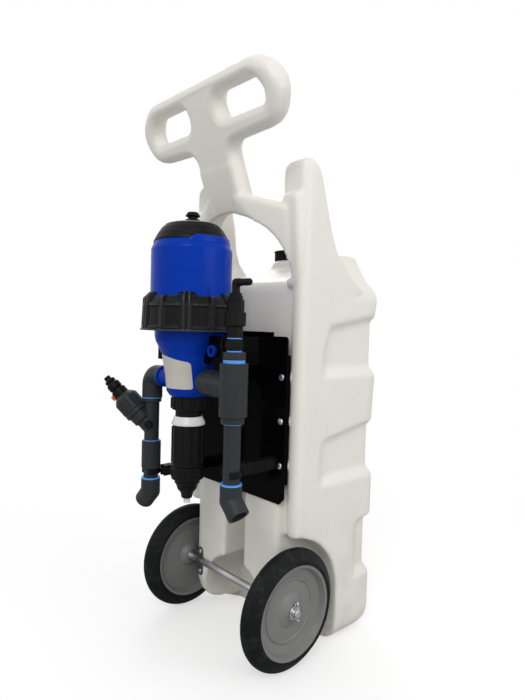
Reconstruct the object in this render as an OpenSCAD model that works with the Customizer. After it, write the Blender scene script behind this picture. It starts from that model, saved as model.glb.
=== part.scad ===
// Wheeled sprayer cart: a moulded tank on two wheels that carries a water-driven doser and its pipework.
// Origin: middle of the tank's foot, on the ground. +Z is up, and the doser and the wheels are towards -Y.

/* [Tank] */
// Width of the tank across its sides
tank_w = 300; // [290:1:310]
// Depth of the tank from the corner posts' front to the back
tank_d = 216; // [204:1:226]
// Height of the front edge of the sloping top
shoulder_z = 643; // [630:1:660]
// Height of the ridge along the back of the top
ridge_z = 700; // [696:1:708]
// Half length of the ridge
ridge_half = 100; // [96:1:104]
// Thickness of the moulded wall
tank_wall = 5; // [4:0.5:6]
// Depth of the recessed panels in the sides
recess_depth = 12; // [8:1:18]
// Radius of the tank's upright corners
corner_r = 24; // [20:1:28]
// How far the front wall stands behind the corner posts
front_inset = 10; // [6:1:14]

/* [Posts, arch and handle] */
// Height of the corner posts
post_top = 839; // [827:1:852]
// Height at which the posts' lower ends stop over the wheels
post_foot = 205; // [202:1:212]
// Inner edge of the posts, from the middle
post_inner = 121; // [118:1:124]
// Height where the arch and the handle start to lean forward
lean_z = 642; // [637:1:647]
// Lean of the stem and handle
lean = 21; // [18:0.1:23]
// Thickness of the stem and handle
handle_t = 40; // [36:1:44]
// Half width of the stem
stem_half = 48; // [44:1:52]
// Length of the handle's top edge above the lean line
handle_top = 337; // [328:1:346]
// Half width of the handle
handle_half = 189; // [180:1:196]
// Radius of the arch under the stem
arch_r = 121; // [116:1:121]

/* [Legs and wheels] */
// Radius of the tyres
tyre_r = 100; // [97:0.1:103]
// Width of the tyres
tyre_w = 38; // [34:1:40]
// Distance from the middle to each wheel's middle
wheel_x = 143.5; // [142:0.5:150]
// Outer radius of the wheel disc
disc_r = 82; // [76:1:86]
// Diameter of the axle
axle_d = 12.7; // [11:0.1:14]
// Distance of the axle in front of the posts
axle_out = 5; // [3:1:6]
// Outer edge of the legs between the wheels
leg_outer = 114; // [110:1:116]
// Half width of the channel between the legs
channel_half = 27; // [22:1:32]
// Gap between the tyre and the moulded wheel arch
wheel_gap = 14; // [10:1:16]

/* [Plate] */
// Half width of the mounting plate
plate_half = 128; // [124:1:132]
// Height of the plate's lower edge
plate_z0 = 268; // [262:1:282]
// Height of the plate's upper edge
plate_z1 = 547; // [532:1:562]
// Thickness of the plate
plate_t = 3; // [2:0.5:4]
// Depth of the plate's folded side flanges
flange_d = 6; // [4:1:8]

/* [Doser] */
// Distance of the doser's axis in front of the plate's face
doser_out = 102; // [98:1:110]
// Radius of the bell
bell_r = 67; // [62:1:68]
// Height of the side ports
port_z = 470; // [466:1:474]
// Distance of each pipe column from the doser's axis
column_x = 117; // [114:1:122]
// Outer diameter of the pipes
pipe_d = 26.7; // [25:0.1:28]
// Wall of the pipes
pipe_wall = 2.9; // [2.5:0.1:3.5]
// Wall of the pipe fittings over the pipe
socket_wall = 4; // [3:0.5:5]
// Clearance of a pipe in its socket
socket_gap = 0.15; // [0.1:0.05:0.3]

/* [Clearances] */
// Gap between parts that move past each other
run_gap = 0.4; // [0.3:0.1:0.6]
// Radial clearance of a shaft in its bore
shaft_gap = 0.08; // [0.05:0.01:0.1]

/* [Hidden] */
$fn = 72;
half_w = tank_w / 2;
post_y = -tank_d / 2;
front_y = post_y + front_inset;
back_y = tank_d / 2;
axle_y = post_y - axle_out;
axle_z = tyre_r;
plate_back = post_y - flange_d;
plate_face = plate_back - plate_t;
doser_y = plate_face - doser_out;
pipe_r = pipe_d / 2;
socket_r = pipe_r + socket_wall;
bore_r = pipe_r + socket_gap;

// ---------- shared shapes ----------

// Places children on the mirror side too
module both_sides() {
    children();
    mirror([1, 0, 0]) children();
}

// Turns a shape made along +Z to run along +X
module along_x() {
    rotate([0, 90, 0]) children();
}

// Turns a shape made along +Z to run along -Y
module along_front() {
    rotate([90, 0, 0]) children();
}

// Points of an arc about c
function arc(c, r, a0, a1, n) =
    [for (i = [0:n]) let (a = a0 + (a1 - a0) * i / n) [c[0] + r * cos(a), c[1] + r * sin(a)]];

// A rounded rectangle as 4 * (n + 1) points, counter-clockwise from the front right corner
function plan(x0, x1, y0, y1, r, n) = concat(
    arc([x1 - r, y0 + r], r, -90, 0, n), arc([x1 - r, y1 - r], r, 0, 90, n),
    arc([x0 + r, y1 - r], r, 90, 180, n), arc([x0 + r, y0 + r], r, 180, 270, n));

// A solid through closed rings that all have as many points
module loft(rings) {
    n = len(rings[0]);
    m = len(rings);
    polyhedron(
        points = [for (ring = rings) each ring],
        faces = concat(
            [[for (i = [0:n - 1]) i]],
            [for (k = [0:m - 2], i = [0:n - 1]) let (a = k * n + i, b = k * n + (i + 1) % n) each
                [[a, b + n, b], [a, a + n, b + n]]],
            [[for (i = [n - 1:-1:0]) (m - 1) * n + i]]),
        convexity = 10);
}

// Gives the points of a plan a height
function lift(points, z) = [for (p = points) [p[0], p[1], z]];

// Rounds each corner [x, y, radius] of a closed outline
function rounded(corners, n) = let (m = len(corners)) [for (i = [0:m - 1]) each
    let (
        p = corners[i],
        a = corners[(i + m - 1) % m],
        b = corners[(i + 1) % m],
        ua = [a[0] - p[0], a[1] - p[1]] / norm([a[0] - p[0], a[1] - p[1]]),
        ub = [b[0] - p[0], b[1] - p[1]] / norm([b[0] - p[0], b[1] - p[1]]),
        half = acos(ua * ub) / 2,
        back = p[2] / tan(half),
        start = [p[0], p[1]] + ua * back,
        end = [p[0], p[1]] + ub * back,
        mid = (ua + ub) / norm(ua + ub),
        centre = [p[0], p[1]] + mid * p[2] / sin(half),
        s = start - centre,
        e = end - centre,
        a0 = atan2(s[1], s[0]),
        turn = atan2(s[0] * e[1] - s[1] * e[0], s * e)
    ) arc(centre, p[2], a0, a0 + turn, n)];

// A tube with an elliptical section, r across and t / 2 up, along a closed flat outline
module rim(path, r, t, n = 8) {
    m = len(path);
    points = [for (i = [0:m - 1]) each
        let (
            d = path[(i + 1) % m] - path[(i + m - 1) % m],
            out = [d[1], -d[0]] / norm(d)
        ) [for (j = [0:n - 1]) let (a = 360 * j / n)
            [path[i][0] + out[0] * r * cos(a), path[i][1] + out[1] * r * cos(a), t / 2 * sin(a)]]];
    polyhedron(
        points = points,
        faces = [for (i = [0:m - 1], j = [0:n - 1])
            let (
                a = i * n + j,
                b = i * n + (j + 1) % n,
                c = ((i + 1) % m) * n + (j + 1) % n,
                e = ((i + 1) % m) * n + j
            ) each [[a, b, c], [a, c, e]]],
        convexity = 10);
}

// A tube along +Z with a plain bore
module tube(r, bore, h) {
    difference() {
        cylinder(r = r, h = h);
        translate([0, 0, -1]) cylinder(r = bore, h = h + 2);
    }
}

// A round body along +Z with its top and bottom edges broken
module chamfered(r, h, c) {
    rotate_extrude() polygon([[0, 0], [r - c, 0], [r, c], [r, h - c], [r - c, h], [0, h]]);
}

// ---------- tank ----------

foot_rise = 22;
edge_r = 38;
panel_front = post_y + 61;
panel_slope = 0.18;
ledge = 16;
eave = 7;
// Each panel: lower edge, upper edge at its front end, its front end, and how far its ends are from the wall
panels = [[106, 210, panel_front + 90], [292, 372, panel_front], [479, 564, panel_front]];

function ease(t) = let (c = min(max(t, 0), 1)) c * c * (3 - 2 * c);

// How deep the panels are at a place on the wall, from 0 to 1
function panel_share(y, z) = max([for (p = panels)
    let (
        top = p[1] + panel_slope * (y - p[2]),
        up = ease((z - p[0]) / ledge),
        down = ease((top - z) / eave),
        in = ease((y - p[2]) / ledge)
    ) min(up, down, in)]);

// One ring of the tank wall: z, half width, front, back and corner radius
function wall_ring(z, hw, y0, y1, r) =
    let (
        right = concat(
            [[0, y0], [hw * 0.4, y0]],
            arc([hw - r, y0 + r], r, -90, 0, 3),
            [for (i = [1:7]) [hw, y0 + r + (y1 - y0 - 2 * r) * i / 8]],
            arc([hw - r, y1 - r], r, 0, 90, 4),
            [[hw * 0.45, y1], [0, y1]]),
        pressed = [for (p = right)
            let (
                d = recess_depth * panel_share(p[1] > y1 - r ? y1 - r : p[1], z),
                sx = p[0] > hw - r ? 1 : 0,
                sy = p[1] > y1 - r ? 1 : 0,
                dx = p[0] > hw - r ? (p[0] - hw + r) / r : 0,
                dy = p[1] > y1 - r ? (p[1] - y1 + r) / r : 0
            ) p[1] < y0 + r ? p : [p[0] - d * dx * sx, p[1] - d * dy * sy]],
        k = len(right)
    )
    concat(lift(pressed, z), [for (i = [k - 2:-1:1]) [-pressed[i][0], pressed[i][1], z]]);

// Heights at which the panels' ledges need a ring
panel_levels = [for (p = panels) each [
    p[0], p[0] + ledge / 2, p[0] + ledge, (p[0] + p[1]) / 2 + 8,
    p[1] - eave, p[1], p[1] + eave, p[1] + eave * 2, p[1] + eave * 3]];

function foot_ring(z) =
    let (
        t = min(z / edge_r, 1),
        inset = edge_r * (1 - sqrt(1 - (1 - t) * (1 - t))),
        y0 = front_y + 84 * pow(1 - min(z / 56, 1), 1.6)
    ) wall_ring(z, half_w - inset, y0, back_y - inset, corner_r);

// Shoulder and ridge: height, half width, front and corner radius
crown = [
    [shoulder_z - 29, half_w, front_y, corner_r],
    [shoulder_z - 16, half_w - 3, front_y, corner_r],
    [shoulder_z - 8, half_w - 9, front_y + 2, corner_r],
    [shoulder_z - 2, half_w - 16, front_y + 7, corner_r],
    [shoulder_z + 4, half_w - 22, front_y + 22, corner_r],
    [shoulder_z + 18, half_w - 33, front_y + 74, corner_r],
    [shoulder_z + 32, half_w - 42, front_y + 124, corner_r],
    [ridge_z - 20, ridge_half + 5, front_y + 133, corner_r],
    [ridge_z - 12, ridge_half, front_y + 140, corner_r],
    [ridge_z - 4, ridge_half - 2, front_y + 142, corner_r],
    [ridge_z - 1, ridge_half - 5, front_y + 145, corner_r - 2],
    [ridge_z, ridge_half - 10, front_y + 150, corner_r - 4]];

module tank_wall_solid() {
    foot_levels = [0, 1.5, 6, 14, 25, edge_r, 56, 84];
    loft(concat(
        [for (z = foot_levels) foot_ring(z)],
        [for (z = panel_levels) wall_ring(z, half_w, front_y, back_y, corner_r)],
        [for (c = crown) wall_ring(c[0], c[1], c[2],
            c[0] > ridge_z - 5 ? back_y - (c[0] - ridge_z + 5) : back_y, c[3])]));
}

// The hollow inside the wall, clear of the panels, the wheel arches and the space between the legs
module tank_hollow() {
    d = recess_depth + tank_wall;
    function inner(z, hw, y0) = lift(plan(-hw, hw, y0, back_y - d, 14, 3), z);
    loft([
        inner(tank_wall + 1, half_w - d - 17, post_y + 124),
        inner(30, half_w - d - 4, post_y + 122),
        inner(140, half_w - d, post_y + 120),
        inner(plate_z0 - 34, half_w - d, post_y + 88),
        inner(plate_z0 + 37, half_w - d, post_y + 86),
        inner(plate_z0 + 76, half_w - d, front_y + tank_wall),
        inner(shoulder_z - 26, half_w - d, front_y + tank_wall),
        inner(shoulder_z - 10, half_w - d - 7, front_y + tank_wall + 15),
        inner(shoulder_z + 24, ridge_half + 2, front_y + 126),
        inner(ridge_z - tank_wall, ridge_half - 12, front_y + 150)]);
}

// Corner post and fin: height, inner edge, front and back
fin = [
    [post_foot, post_inner + 11, post_y + 13, post_y + 30],
    [post_foot + 3, post_inner + 6, post_y + 6, post_y + 44],
    [post_foot + 12, post_inner + 1, post_y + 1, post_y + 52],
    [post_foot + 24, post_inner, post_y, post_y + 56],
    [492, post_inner, post_y, post_y + 56],
    [shoulder_z - 50, post_inner, post_y, post_y + 90],
    [shoulder_z - 12, post_inner, post_y, back_y - 50],
    [shoulder_z + 6, post_inner - 2, post_y, back_y - 76],
    [shoulder_z + 26, post_inner - 5, post_y, back_y - 101],
    [shoulder_z + 46, post_inner - 9, post_y, back_y - 122],
    [shoulder_z + 79, post_inner - 17, post_y, back_y - 138],
    [shoulder_z + 111, post_inner - 25, post_y, back_y - 149],
    [post_top - 36, post_inner - 29, post_y, back_y - 164],
    [post_top - 14, post_inner - 29, post_y + 1, back_y - 173],
    [post_top - 5, post_inner - 26, post_y + 5, back_y - 179],
    [post_top, post_inner - 18, post_y + 13, back_y - 188]];

module corner_fin() {
    loft([for (f = fin)
        let (
            end = min(abs(f[0] - post_foot), abs(f[0] - post_top)),
            dx = end < 14 ? 8 * (1 - end / 14) : 0
        ) lift(plan(f[1], half_w - dx, f[2], f[3],
            min(15, (f[3] - f[2]) / 2 - 1, (half_w - dx - f[1]) / 2 - 1), 4), f[0])]);
}

// Leg between the wheels, rounded under its front
module leg() {
    nose = 45;
    loft([for (z = [foot_rise, foot_rise + 3, foot_rise + 10, foot_rise + 22, foot_rise + nose,
            plate_z0 + 14, plate_z0 + 30])
        let (
            t = min((z - foot_rise) / nose, 1),
            back = nose * (1 - sqrt(1 - (1 - t) * (1 - t))),
            side = min(back, 10)
        ) lift(plan(channel_half - 8, leg_outer + 1.5 - side * 0.6, plate_back + back, post_y + 71, 14, 4), z)]);
}

// Handle outline inside its rounded rim, for one side, as corners with radii
rim_r = 13.9;
slab_t = handle_t - 2.4;
hole_inner = 40;
hole_outer = 154;
hole_low = 268.5;
hole_high = handle_top - 31;
grip_low = 230;
side_corners = [
    [handle_half - rim_r - 20, grip_low + rim_r + 2, 28],
    [handle_half - rim_r + 3, 292, 30],
    [handle_half - rim_r - 34, handle_top - rim_r, 46]];
handle_corners = concat(
    [[stem_half - rim_r, 112, 1], [stem_half - rim_r, grip_low + rim_r - 2, 34]],
    side_corners,
    [for (i = [2:-1:0]) [-side_corners[i][0], side_corners[i][1], side_corners[i][2]]],
    [[-stem_half + rim_r, grip_low + rim_r - 2, 34], [-stem_half + rim_r, 112, 1]]);
hole_corners = [
    [hole_inner - rim_r, hole_low - rim_r, 28],
    [hole_outer + rim_r - 15, hole_low - rim_r, 18],
    [hole_outer + rim_r - 1, (hole_low + hole_high) / 2 - 2, 34],
    [hole_outer + rim_r - 29, hole_high + rim_r, 30],
    [hole_inner - rim_r, hole_high + rim_r, 28]];

function flipped(points) = [for (i = [len(points) - 1:-1:0]) [-points[i][0], points[i][1]]];

module handle_slab() {
    outer = rounded(handle_corners, 4);
    hole = rounded(hole_corners, 3);
    difference() {
        translate([0, 0, -slab_t / 2]) linear_extrude(slab_t) polygon(outer);
        translate([0, 0, -handle_t]) linear_extrude(2 * handle_t) polygon(hole);
        translate([0, 0, -handle_t]) linear_extrude(2 * handle_t) polygon(flipped(hole));
    }
    rim(outer, rim_r, handle_t);
    rim(hole, rim_r, handle_t);
    rim(flipped(hole), rim_r, handle_t);
}

// Places a flat shape, drawn in x and distance up the lean, in the leaning plane
module leaning() {
    translate([0, post_y, lean_z]) rotate([90 + lean, 0, 0]) translate([0, 0, -handle_t / 2]) children();
}

// Shoulder of the arch between a post and the stem
module arch_shoulder() {
    ball = 9;
    low = 40;
    module ends(x, high, tilt, y) {
        for (s = [low, high], d = [0, handle_t - 2 * ball])
            translate([x, post_y + y + ball + d - tilt * s, lean_z + (s - ball) * cos(lean)])
                sphere(r = ball, $fn = 12);
    }
    hull() {
        ends(stem_half - ball - 4, 157, sin(lean) * 0.98, 0.5);
        ends(post_inner - 4, 129, sin(lean) * 0.42, 0.5);
    }
}

module stem_root() {
    ball = 9;
    side = stem_half - ball - 2;
    hull() for (x = [-side, side], s = [60, 201], d = [1, handle_t - 2 * ball - 1])
        translate([x, post_y + ball + d - sin(lean) * s, lean_z + s * cos(lean)]) sphere(r = ball, $fn = 12);
}

// Fillet block where the arch springs from a post
module arch_foot() {
    ball = 9;
    hull() for (x = [post_inner - 6, half_w - 14], z = [shoulder_z - 6, lean_z + 130], d = [0, 26])
        translate([x, post_y + ball + d - (z - lean_z) * 0.11, z]) sphere(r = ball, $fn = 12);
}

cap_x = -74;
cap_y = back_y - 27;
neck_r = 24;
neck_bore = 20;
neck_top = ridge_z + 17;
mouth_flat = ridge_z + 1;
well_r = tyre_r + wheel_gap;
tunnel_r = 87;
tunnel_z = 50;
tunnel_end = post_y + 92;
channel_back = post_y + 72;
groove_r = axle_d / 2 + 0.3;
screw_x = plate_half - 10;
screw_levels = [plate_z0 + 65, plate_z0 + 139, plate_z0 + 212];
strap_x = leg_outer - 16;
strap_hole_z = 19.5;

// Everything that is pressed into the tank's lower half
module lower_voids() {
    both_sides() {
        translate([leg_outer, axle_y, axle_z]) along_x() cylinder(r = well_r, h = 80, $fn = 40);
        translate([leg_outer, axle_y - 200, -1]) cube([80, 200 + well_r, axle_z]);
    }
    translate([0, tunnel_end, tunnel_z]) along_front() cylinder(r = tunnel_r, h = 200, $fn = 40);
    translate([-tunnel_r, tunnel_end - 200, -1]) cube([2 * tunnel_r, 200, foot_rise - 5]);
    hull() for (x = [-1, 1], z = [foot_rise, plate_z0 + 20], y = [channel_back, post_y - 40])
        translate([x * (channel_half - 12), y - 12, z]) sphere(r = 12, $fn = 12);
}

module tank() color("#e3e3df") {
    difference() {
        union() {
            tank_wall_solid();
            both_sides() {
                corner_fin();
                leg();
                arch_shoulder();
                arch_foot();
                for (z = screw_levels) hull() for (y = [plate_back, front_y + 3])
                    translate([screw_x, y + 1, z]) along_front() cylinder(r = 8, h = 1, $fn = 16);
            }
            stem_root();
            leaning() handle_slab();
            hull() {
                translate([cap_x, cap_y, ridge_z - 21]) cylinder(r = neck_r + 8, h = 1, $fn = 32);
                translate([cap_x, cap_y, mouth_flat - 1]) cylinder(r = neck_r + 4, h = 1, $fn = 32);
            }
            translate([cap_x, cap_y, ridge_z - 20]) cylinder(r = neck_r, h = neck_top - ridge_z + 20, $fn = 48);
        }
        tank_hollow();
        translate([cap_x, cap_y, ridge_z - 34]) cylinder(r = neck_bore, h = 60, $fn = 48);
        lower_voids();
        // round opening of the arch
        leaning() translate([0, 0, -2 * handle_t]) rotate_extrude(angle = 180, $fn = 48)
            square([arch_r, 4 * handle_t]);
        // groove for the axle across the legs
        translate([-half_w - 20, axle_y, axle_z]) along_x() cylinder(r = groove_r, h = tank_w + 40, $fn = 24);
        translate([-half_w - 20, axle_y - 60, axle_z - groove_r]) cube([tank_w + 40, 60, 2 * groove_r]);
        // pilot holes of the plate's and the straps' screws
        both_sides() {
            for (z = screw_levels) translate([screw_x, front_y - 1 + screw_l, z]) along_front()
                cylinder(r = screw_r + 0.2, h = 60, $fn = 12);
            for (s = [-1, 1]) translate([strap_x, plate_back + 12, axle_z + s * strap_hole_z]) along_front()
                cylinder(r = strap_screw_r + 0.2, h = 60, $fn = 12);
        }
    }
}

// ---------- cap ----------

cap_r = 30;
cap_h = 21;
gasket_t = 1.5;

module tank_cap() color("#1a1a1a") translate([cap_x, cap_y, mouth_flat + run_gap]) {
    difference() {
        union() {
            rotate_extrude() polygon([[0, 0], [cap_r - 1.5, 0], [cap_r - 1.5, cap_h - 4],
                [cap_r + 1, cap_h - 3], [cap_r + 1, cap_h - 1], [cap_r - 1, cap_h], [0, cap_h]]);
            for (a = [0:15:345]) rotate(a) translate([cap_r - 1.5, 0, 0])
                cylinder(r = 1.2, h = cap_h - 3, $fn = 16);
            translate([-cap_r - 5, -5, cap_h - 5]) cube([10, 10, 4]);
        }
        translate([0, 0, -1])
            cylinder(r = neck_r + run_gap, h = neck_top - mouth_flat - run_gap + gasket_t + 1);
    }
}

module cap_gasket() color("#d8d4c4") translate([cap_x, cap_y, neck_top])
    tube(neck_r - 0.5, neck_bore + 0.5, gasket_t - run_gap + 0.1);

// ---------- axle and wheels ----------

hub_w = 28;
washer_t = 1.6;
pin_r = 1.6;
axle_half = wheel_x + hub_w / 2 + washer_t + 8;
bush_r = axle_d / 2 + 2.2;
hub_r = 17;

module axle() color("#b9bcc0") difference() {
    translate([-axle_half, axle_y, axle_z]) along_x() chamfered(axle_d / 2, 2 * axle_half, 1);
    both_sides() translate([wheel_x + hub_w / 2 + washer_t + 3.6, axle_y, axle_z - 20])
        cylinder(r = pin_r + 0.05, h = 40, $fn = 24);
}

strap_w = 15;
strap_h = 56;
strap_t = 2;
strap_screw_r = 2.4;

saddle_r = axle_d / 2 + 0.3;

// Flat steel strap, pressed round the axle in its middle
module axle_straps() color("#2b2d2f") both_sides() difference() {
    union() {
        translate([strap_x, plate_back, axle_z]) along_front() linear_extrude(strap_t) union() {
            square([strap_w, strap_h - strap_w], center = true);
            for (s = [-1, 1]) translate([0, s * (strap_h - strap_w) / 2]) circle(r = strap_w / 2);
        }
        translate([strap_x - strap_w / 2, axle_y, axle_z]) along_x()
            cylinder(r = saddle_r + strap_t, h = strap_w);
    }
    for (s = [-1, 1]) translate([strap_x, plate_back + 1, axle_z + s * strap_hole_z]) along_front()
        cylinder(r = strap_screw_r + 0.3, h = 10);
    translate([strap_x - strap_w, axle_y, axle_z]) along_x() cylinder(r = saddle_r, h = 2 * strap_w);
    translate([strap_x - strap_w, plate_back, axle_z - strap_h]) cube([2 * strap_w, 40, 2 * strap_h]);
}

module pan_screw(r, head_r, head_h, l) {
    cylinder(r = r, h = l);
    translate([0, 0, l]) rotate_extrude() polygon([[0, 0], [head_r, 0], [head_r, head_h * 0.5],
        [head_r * 0.7, head_h * 0.9], [head_r * 0.3, head_h], [0, head_h]]);
}

module strap_screws() color("#c9ccd0") both_sides() for (s = [-1, 1])
    translate([strap_x, plate_back + 10, axle_z + s * strap_hole_z]) along_front()
        pan_screw(strap_screw_r, 4.6, 2.6, 10 + strap_t);

module axle_washers() color("#c9ccd0") both_sides()
    for (x = [wheel_x - hub_w / 2 - washer_t - 0.3, wheel_x + hub_w / 2 + 0.3])
        translate([x, axle_y, axle_z]) along_x() tube(12, axle_d / 2 + 0.05, washer_t);

pin_x = wheel_x + hub_w / 2 + washer_t + 3.6;
pin_eye_z = 15.6;

module cotter_pins() color("#c9ccd0") both_sides() translate([pin_x, axle_y, axle_z]) {
    translate([0, 0, -12]) cylinder(r = pin_r, h = 9 + pin_eye_z);
    translate([0, 0, pin_eye_z]) along_front() rotate_extrude() translate([3, 0]) circle(r = pin_r, $fn = 20);
    translate([0, 0, -12]) rotate([0, 60, 0]) cylinder(r = pin_r * 0.8, h = 6);
}

tyre_in = disc_r - 3;
bead_t = 1;
disc_side = tyre_w / 2 - bead_t - 0.3;
disc_rim = tyre_in - 1.3;

// The tyre's bead laps the disc's edge on both sides
module tyre() along_x() rotate_extrude() union() {
    hull() {
        translate([tyre_r - 11, 0]) circle(r = 11, $fn = 48);
        translate([disc_r - 1, -tyre_w / 2]) square([1, tyre_w]);
        translate([tyre_in, -tyre_w / 2 + 6]) square([1, tyre_w - 12]);
    }
    for (s = [-1, 1]) translate([disc_r - 4.8, s * (tyre_w / 2 - bead_t / 2) - bead_t / 2])
        square([5, bead_t]);
}

module wheel_disc() along_x() rotate_extrude() polygon([
        [bush_r + 0.05, -hub_w / 2], [hub_r - 2, -hub_w / 2], [hub_r, -hub_w / 2 + 2],
        [hub_r + 6, -6], [disc_r - 30, -4.5], [disc_r - 14, -6], [disc_r - 10, 1 - disc_side],
        [disc_r - 5, -disc_side], [disc_rim, 4.2 - disc_side],
        [disc_rim, disc_side - 4.2], [disc_r - 5, disc_side], [disc_r - 10, disc_side - 1],
        [disc_r - 14, 7], [disc_r - 27, 4], [disc_r - 29, 6], [disc_r - 32, 6], [disc_r - 34, 3.5],
        [hub_r + 12, 4.5], [hub_r, hub_w / 2 - 4], [hub_r - 4, hub_w / 2], [bush_r + 0.05, hub_w / 2]]);

module bush() along_x() translate([0, 0, -hub_w / 2]) tube(bush_r, axle_d / 2 + shaft_gap, hub_w);

module at_wheel(side) translate([side * wheel_x, axle_y, axle_z]) mirror([side < 0 ? 1 : 0, 0, 0]) children();

module right_tyre() color("#151715") at_wheel(1) tyre();
module right_wheel_disc() color("#6a6a68") at_wheel(1) wheel_disc();
module right_bush() color("#3c3c3c") at_wheel(1) bush();
module left_tyre() color("#151715") at_wheel(-1) tyre();
module left_wheel_disc() color("#6a6a68") at_wheel(-1) wheel_disc();
module left_bush() color("#3c3c3c") at_wheel(-1) bush();

// ---------- plate ----------

screw_r = 2.9;
screw_l = 6;

module mounting_plate() color("#0d0d0f") difference() {
    union() {
        translate([0, plate_back, 0]) along_front() linear_extrude(plate_t) polygon([
            [-plate_half + 10, plate_z0], [plate_half - 10, plate_z0], [plate_half, plate_z0 + 10],
            [plate_half, plate_z1 - 4], [plate_half - 4, plate_z1],
            [-plate_half + 4, plate_z1], [-plate_half, plate_z1 - 4], [-plate_half, plate_z0 + 10]]);
        both_sides() translate([plate_half - 2, plate_back, plate_z0 + 34])
            cube([2, flange_d, plate_z1 - plate_z0 - 64]);
    }
    both_sides() for (z = screw_levels) translate([screw_x, post_y, z]) along_front()
        cylinder(r = screw_r + 0.4, h = 40);
}

module plate_screws() color("#c9ccd0") both_sides() for (z = screw_levels)
    translate([screw_x, plate_face + 14, z]) along_front() pan_screw(screw_r, 5.5, 3.2, 14);

// ---------- doser ----------

ring_z0 = 552;
ring_z1 = 613;
ring_r = 84;
bell_top = 684;
cap_z0 = 698;
cap_z1 = 728;
button_top = 745;
body_z0 = 444;
nut_z0 = 421;
neck_z0 = 410;
scale_z0 = 396;
sleeve_z0 = 326;
lock_z0 = 304;
cone_z0 = 271;
tip_z0 = 262;
bell_wall = 4;
port_r = 16;
rod_r = 6;

// Places a shape made about Z on the doser's axis
module on_doser() translate([0, doser_y, 0]) children();

module doser_bell() color("#1030a0") on_doser() rotate_extrude() polygon([
    [bell_r, ring_z0 + 11.3], [bell_r, bell_top], [bell_r - 1, bell_top + 3], [bell_r - 6, cap_z0 - 0.3],
    [26, cap_z0 - 0.3], [26, cap_z0 - 0.3 - bell_wall], [bell_r - 8, cap_z0 - 0.3 - bell_wall],
    [bell_r - bell_wall, bell_top - 4], [bell_r - bell_wall, ring_z0 + 11.3]]);

module doser_top_cap() color("#1c1c1e") on_doser() rotate_extrude() polygon([
    [8, cap_z0], [bell_r - 5, cap_z0], [bell_r - 5.5, cap_z0 + 3], [bell_r - 10, cap_z0 + 12],
    [51, cap_z0 + 21], [44, cap_z0 + 28], [36, cap_z0 + 31], [21, cap_z1 + 3], [15, cap_z1 + 3.5],
    [12, cap_z1 + 8], [8, cap_z1 + 8]]);

button_r = 8 - shaft_gap;

module vent_button() color("#1a1a1a") on_doser() {
    translate([0, 0, cap_z0 + 2]) cylinder(r = button_r, h = button_top - cap_z0 - 5);
    translate([0, 0, button_top - 5]) rotate_extrude() polygon([
        [0, 0], [9, 0], [12, 1.5], [12, 3.5], [10, 4.5], [10, 6], [8.5, 8], [0, 8]]);
}

ring_lobes = 12;
ring_turn = -40;

// Twin ribs that rise over the bell and single ribs in turn, with a panel between them
module clamp_ring() color("#1c1d1f") on_doser() rotate(ring_turn) difference() {
    union() {
        rotate_extrude() polygon([
            [bell_r + 0.3, ring_z0], [ring_r, ring_z0], [ring_r, ring_z0 + 5], [ring_r - 3, ring_z0 + 7],
            [ring_r - 4.5, ring_z1 - 24], [ring_r - 9, ring_z1 - 14], [ring_r - 13, ring_z1 - 6],
            [bell_r + 0.3, ring_z1 - 6]]);
        for (i = [0:2:ring_lobes - 1], s = [-3.2, 3.2]) rotate(i * 360 / ring_lobes + s)
            translate([bell_r + 1, -1.4, ring_z0]) cube([ring_r - bell_r - 4, 2.8, ring_z1 - ring_z0]);
        for (i = [1:2:ring_lobes - 1]) rotate(i * 360 / ring_lobes)
            translate([bell_r + 1, -1.8, ring_z0]) cube([ring_r - bell_r - 4, 3.6, ring_z1 - ring_z0 - 6]);
    }
    for (i = [0:ring_lobes - 1]) rotate((i + 0.5) * 360 / ring_lobes) translate([ring_r + 4, 0, ring_z1 - 4])
        rotate([0, -90, 0]) cylinder(r = 12, h = 16, $fn = 32);
    translate([0, 0, ring_z0 + 11]) cylinder(r = bell_r + 0.3, h = 80);
}

body_r = 66.5;
waist_r = 39;
flare_z = 506;
plunger_bore = 20;
port_end = 82;

// Outline of the body: radius and height
body_line = [[waist_r - 6, body_z0 + 2], [waist_r - 1.5, body_z0 + 8], [waist_r - 0.5, body_z0 + 18],
    [waist_r + 1, body_z0 + 36], [waist_r + 4.5, flare_z - 7], [waist_r + 7, flare_z + 8],
    [waist_r + 13.5, flare_z + 20], [waist_r + 18, flare_z + 29], [waist_r + 20, flare_z + 39]];

module doser_body() color("#1030a0") on_doser() difference() {
    union() {
        rotate_extrude() polygon(concat([[0, body_z0], [waist_r - 8, body_z0]], body_line,
            [[waist_r + 20.5, ring_z0 + 1], [body_r, ring_z0 + 2], [body_r, ring_z0 + 11], [0, ring_z0 + 11]]));
        both_sides() {
            translate([0, 0, port_z]) along_x() cylinder(r = port_r, h = port_end);
            translate([waist_r - 3, 4, flare_z - 2]) cube([knob_x + 11 - waist_r + 3, 12, 37]);
        }
    }
    rotate_extrude() polygon([
        [0, body_z0 - 10], [plunger_bore, body_z0 - 10], [plunger_bore, body_z0 + 12], [waist_r - 6, body_z0 + 18],
        [waist_r - 6, flare_z + 4], [waist_r + 3, flare_z + 18], [waist_r + 9, flare_z + 30],
        [waist_r + 11, flare_z + 42], [body_r - 6, ring_z0 + 8], [body_r - 6, ring_z0 + 40], [0, ring_z0 + 40]]);
    both_sides() {
        translate([30, 0, port_z]) along_x() cylinder(r = 10, h = 100);
        translate([knob_x, 30, knob_z]) along_front() cylinder(r = stud_r, h = 60);
    }
}

// Bare panel bent round the front of the body
module label_panel() color("#dfe3e6") on_doser() rotate(-90 - 34) rotate_extrude(angle = 84) polygon([
    for (i = [2:5]) body_line[i] + [0.3, 0], for (i = [5:-1:2]) body_line[i] + [1.1, 0]]);

plunger_z0 = sleeve_z0 + 8;

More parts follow.
